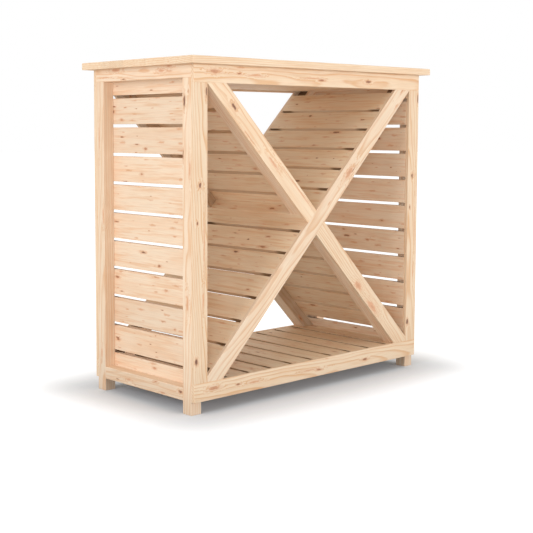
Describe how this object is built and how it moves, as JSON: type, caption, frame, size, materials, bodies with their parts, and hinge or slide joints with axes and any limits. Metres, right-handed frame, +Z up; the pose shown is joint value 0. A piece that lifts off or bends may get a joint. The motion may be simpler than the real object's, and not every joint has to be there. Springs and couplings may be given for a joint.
{
  "type": "log store",
  "caption": "Open timber log store: slatted sides and floor, flat board roof on posts, and a slatted cross that divides it into triangular bins open at front and back.",
  "frame": {"origin": "on the ground under the middle of the store, level with the underside of its feet", "axes": "+X along the width, +Y from the front to the back, +Z up"},
  "size_m": [1.082, 0.53, 1.0345],
  "materials": {
    "frame": "planed bare softwood",
    "face_boards": "planed bare softwood",
    "slats": "planed bare softwood",
    "roof": "planed bare softwood"
  },
  "bodies": {
    "root": {"back_bottom_rail": "face_boards", "back_falling_batten_lower": "frame", "back_falling_batten_upper": "frame", "back_falling_brace_lower": "face_boards", "back_falling_brace_upper": "face_boards", "back_floor_bearer": "frame", "back_left_post": "frame", "back_left_stile": "face_boards", "back_right_post": "frame", "back_right_stile": "face_boards", "back_rising_batten": "frame", "back_rising_brace": "face_boards", "back_top_rail": "face_boards", "falling_cleat_lower": "frame", "falling_cleat_upper": "frame", "falling_slats_lower": "slats", "falling_slats_upper": "slats", "floor_slats": "slats", "front_bottom_rail": "face_boards", "front_falling_batten_lower": "frame", "front_falling_batten_upper": "frame", "front_falling_brace_lower": "face_boards", "front_falling_brace_upper": "face_boards", "front_floor_bearer": "frame", "front_left_post": "frame", "front_left_stile": "face_boards", "front_right_post": "frame", "front_right_stile": "face_boards", "front_rising_batten": "frame", "front_rising_brace": "face_boards", "front_top_rail": "face_boards", "left_bottom_rail": "frame", "left_top_rail": "frame", "left_wall_slats": "slats", "right_bottom_rail": "frame", "right_top_rail": "frame", "right_wall_slats": "slats", "rising_slats": "slats", "roof_board_1": "roof", "roof_board_2": "roof", "roof_board_3": "roof", "roof_board_4": "roof", "roof_board_5": "roof"}
  },
  "joints": []
}
